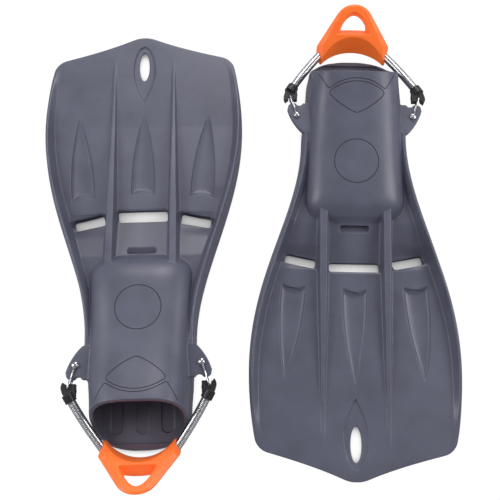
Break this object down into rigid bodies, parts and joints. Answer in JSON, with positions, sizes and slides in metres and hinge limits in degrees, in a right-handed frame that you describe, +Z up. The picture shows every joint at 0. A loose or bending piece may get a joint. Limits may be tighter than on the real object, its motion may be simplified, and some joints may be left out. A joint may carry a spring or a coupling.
{
  "type": "dive_fins",
  "caption": "Pair of open-heel rubber dive fins with vented, ribbed blades, slip-in foot pockets and steel spring heel straps with a pull loop",
  "frame": {"origin": "middle of the pair's outline on the floor", "axes": "+Y along the fins (left fin's toe, right fin's heel), +X across to the right fin, +Z up"},
  "size_m": [0.48, 0.558, 0.0779],
  "materials": {
    "rubber": "satin moulded",
    "pad": "satin moulded",
    "clip": "satin moulded",
    "steel": "polished stainless",
    "spring": "polished stainless wire"
  },
  "bodies": {
    "fins": {"left_fin_blade": "rubber", "left_fin_vent_bars": "rubber", "left_fin_foot_pocket": "rubber", "left_fin_outer_pin": "steel", "left_fin_inner_pin": "steel", "right_fin_blade": "rubber", "right_fin_vent_bars": "rubber", "right_fin_foot_pocket": "rubber", "right_fin_outer_pin": "steel", "right_fin_inner_pin": "steel"},
    "left_fin_outer_bail": {"left_fin_outer_bail": "steel"},
    "left_fin_outer_clip": {"left_fin_outer_clip": "clip", "left_fin_outer_clip_plug": "steel", "left_fin_outer_spring": "spring"},
    "left_fin_heel_pad": {"left_fin_heel_pad": "pad", "left_fin_pad_plugs": "steel"},
    "left_fin_inner_clip": {"left_fin_inner_clip": "clip", "left_fin_inner_clip_plug": "steel", "left_fin_inner_spring": "spring"},
    "left_fin_inner_bail": {"left_fin_inner_bail": "steel"},
    "right_fin_outer_bail": {"right_fin_outer_bail": "steel"},
    "right_fin_outer_clip": {"right_fin_outer_clip": "clip", "right_fin_outer_clip_plug": "steel", "right_fin_outer_spring": "spring"},
    "right_fin_heel_pad": {"right_fin_heel_pad": "pad", "right_fin_pad_plugs": "steel"},
    "right_fin_inner_clip": {"right_fin_inner_clip": "clip", "right_fin_inner_clip_plug": "steel", "right_fin_inner_spring": "spring"},
    "right_fin_inner_bail": {"right_fin_inner_bail": "steel"}
  },
  "joints": [
    {"name": "left_fin_strap_sway", "type": "hinge", "parent": "fins", "child": "left_fin_outer_bail", "pos_m": [-0.18132, -0.1462, 0.041], "axis": [0, 0, 1], "range_deg": [-8, 8]},
    {"name": "left_fin_outer_clip_turn", "type": "hinge", "parent": "left_fin_outer_bail", "child": "left_fin_outer_clip", "pos_m": [-0.18833, -0.17061, 0.041], "axis": [0, 0, 1], "range_deg": [-8, 8]},
    {"name": "left_fin_inner_bail_swing", "type": "hinge", "parent": "fins", "child": "left_fin_inner_bail", "pos_m": [-0.04618, -0.14235, 0.041], "axis": [0, 0, 1], "range_deg": [-8.5, 8.5]},
    {"name": "left_fin_pad_pull", "type": "slide", "parent": "left_fin_outer_clip", "child": "left_fin_heel_pad", "axis": [0.0284, -0.9996, 0], "range_m": [0, 0.03], "stiffness_N_per_m": 1200, "deforming": ["left_fin_outer_spring"]},
    {"name": "left_fin_inner_spring_stretch", "type": "slide", "parent": "left_fin_heel_pad", "child": "left_fin_inner_clip", "axis": [-0.0284, 0.9996, 0], "range_m": [0, 0.03], "deforming": ["left_fin_inner_spring"]},
    {"name": "right_fin_strap_sway", "type": "hinge", "parent": "fins", "child": "right_fin_outer_bail", "pos_m": [0.19499, 0.143, 0.041], "axis": [0, 0, 1], "range_deg": [-8, 8]},
    {"name": "right_fin_outer_clip_turn", "type": "hinge", "parent": "right_fin_outer_bail", "child": "right_fin_outer_clip", "pos_m": [0.20314, 0.16705, 0.041], "axis": [0, 0, 1], "range_deg": [-8, 8]},
    {"name": "right_fin_inner_bail_swing", "type": "hinge", "parent": "fins", "child": "right_fin_inner_bail", "pos_m": [0.05982, 0.1455, 0.041], "axis": [0, 0, 1], "range_deg": [-8.5, 8.5]},
    {"name": "right_fin_pad_pull", "type": "slide", "parent": "right_fin_outer_clip", "child": "right_fin_heel_pad", "axis": [0.0185, 0.9998, 0], "range_m": [0, 0.03], "stiffness_N_per_m": 1200, "deforming": ["right_fin_outer_spring"]},
    {"name": "right_fin_inner_spring_stretch", "type": "slide", "parent": "right_fin_heel_pad", "child": "right_fin_inner_clip", "axis": [-0.0185, -0.9998, 0], "range_m": [0, 0.03], "deforming": ["right_fin_inner_spring"]}
  ],
  "couplings": [
    {"joint": "left_fin_outer_clip_turn", "follows": "left_fin_strap_sway", "ratio": -0.898},
    {"joint": "left_fin_inner_bail_swing", "follows": "left_fin_strap_sway", "ratio": 1},
    {"joint": "left_fin_inner_spring_stretch", "follows": "left_fin_pad_pull", "ratio": 1},
    {"joint": "right_fin_outer_clip_turn", "follows": "right_fin_strap_sway", "ratio": -0.898},
    {"joint": "right_fin_inner_bail_swing", "follows": "right_fin_strap_sway", "ratio": 1},
    {"joint": "right_fin_inner_spring_stretch", "follows": "right_fin_pad_pull", "ratio": 1}
  ]
}
